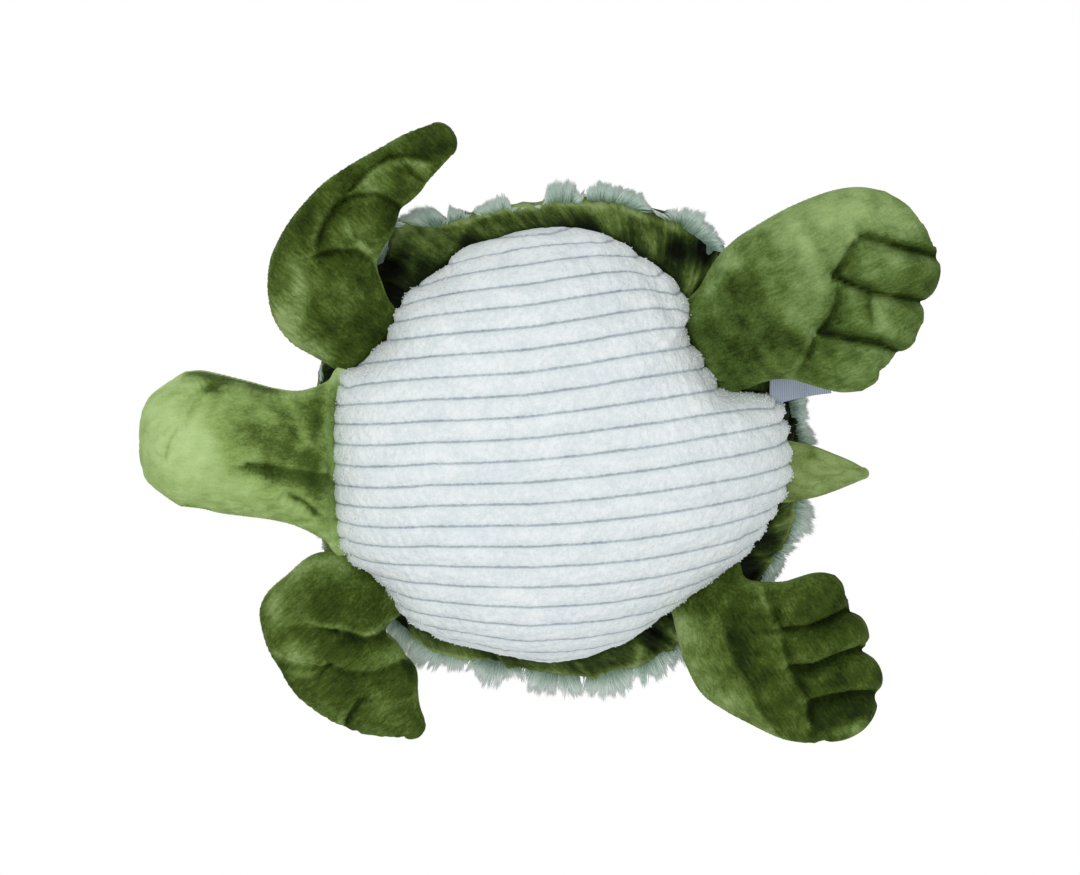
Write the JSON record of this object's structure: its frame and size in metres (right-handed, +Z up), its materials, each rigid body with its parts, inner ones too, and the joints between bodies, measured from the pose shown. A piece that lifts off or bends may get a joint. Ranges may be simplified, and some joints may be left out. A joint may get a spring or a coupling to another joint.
{
  "type": "plush sea turtle",
  "caption": "Stuffed sea turtle lying on a ribbed white plush belly, with a furry sage shell, green velour head and tail, and olive velour flippers and toed feet that flop on their seams.",
  "frame": {"origin": "centre of the flat patch of the belly that the turtle rests on", "axes": "+Z up, +X to the turtle's left, +Y towards its tail, the head towards -Y"},
  "size_m": [0.3817, 0.4835, 0.1371],
  "materials": {
    "belly_corduroy": "white jumbo-corduroy plush",
    "rim_velour": "dark olive velour, gathered",
    "shell_fur": "sage long-pile faux fur",
    "fibre": "polyester fibre filling",
    "head_velour": "light green satiny velour",
    "flipper_velour": "olive velour",
    "foot_velour": "olive velour, pile brushed lighter",
    "tail_velour": "green velour",
    "thread": "matt sewing thread",
    "eye_plastic": "glossy black",
    "washer_plastic": "white moulded plastic",
    "label_satin": "white satin ribbon, bare"
  },
  "bodies": {
    "body": {"belly_panel": "belly_corduroy", "shell_rim": "rim_velour", "shell_cover": "shell_fur", "body_stuffing": "fibre"},
    "head": {"head_skin": "head_velour", "head_stuffing": "fibre", "eye_left": "eye_plastic", "eye_right": "eye_plastic", "eye_washer_left": "washer_plastic", "eye_washer_right": "washer_plastic"},
    "front_left_flipper": {"front_left_flipper_skin": "flipper_velour", "front_left_flipper_stuffing": "fibre"},
    "front_right_flipper": {"front_right_flipper_skin": "flipper_velour", "front_right_flipper_stuffing": "fibre"},
    "rear_left_foot": {"rear_left_foot_skin": "foot_velour", "rear_left_foot_stuffing": "fibre", "rear_left_toe_thread_1": "thread", "rear_left_toe_thread_2": "thread", "rear_left_toe_thread_3": "thread"},
    "rear_right_foot": {"rear_right_foot_skin": "foot_velour", "rear_right_foot_stuffing": "fibre", "rear_right_toe_thread_1": "thread", "rear_right_toe_thread_2": "thread", "rear_right_toe_thread_3": "thread"},
    "tail": {"tail_skin": "tail_velour", "tail_stuffing": "fibre"},
    "label": {"care_label": "label_satin"}
  },
  "joints": [
    {"name": "head_nod", "type": "hinge", "parent": "body", "child": "head", "pos_m": [-0.007, -0.14332, 0.0562], "axis": [-1, 0, 0], "range_deg": [-25, 15], "stiffness_Nm_per_rad": 0.6},
    {"name": "front_left_flap", "type": "hinge", "parent": "body", "child": "front_left_flipper", "pos_m": [0.06665, -0.11813, 0.0562], "axis": [-0.777, -0.6296, 0], "range_deg": [-35, 22], "stiffness_Nm_per_rad": 0.3},
    {"name": "front_right_flap", "type": "hinge", "parent": "body", "child": "front_right_flipper", "pos_m": [-0.09173, -0.11597, 0.0562], "axis": [-0.7641, 0.6451, 0], "range_deg": [-35, 22], "stiffness_Nm_per_rad": 0.3},
    {"name": "rear_left_flap", "type": "hinge", "parent": "body", "child": "rear_left_foot", "pos_m": [0.06083, 0.09513, 0.0562], "axis": [0.8162, -0.5778, 0], "range_deg": [-30, 14], "stiffness_Nm_per_rad": 0.4},
    {"name": "rear_right_flap", "type": "hinge", "parent": "body", "child": "rear_right_foot", "pos_m": [-0.09368, 0.08841, 0.0562], "axis": [0.6247, 0.7809, 0], "range_deg": [-30, 18], "stiffness_Nm_per_rad": 0.4},
    {"name": "tail_wag", "type": "hinge", "parent": "body", "child": "tail", "pos_m": [-0.01547, 0.1443, 0.0562], "axis": [1, 0, 0], "range_deg": [-30, 25], "stiffness_Nm_per_rad": 0.05},
    {"name": "label_flap", "type": "hinge", "parent": "body", "child": "label", "pos_m": [0.0369, 0.1376, 0.058], "axis": [1, 0, 0], "range_deg": [-12, 12], "stiffness_Nm_per_rad": 0.01}
  ]
}
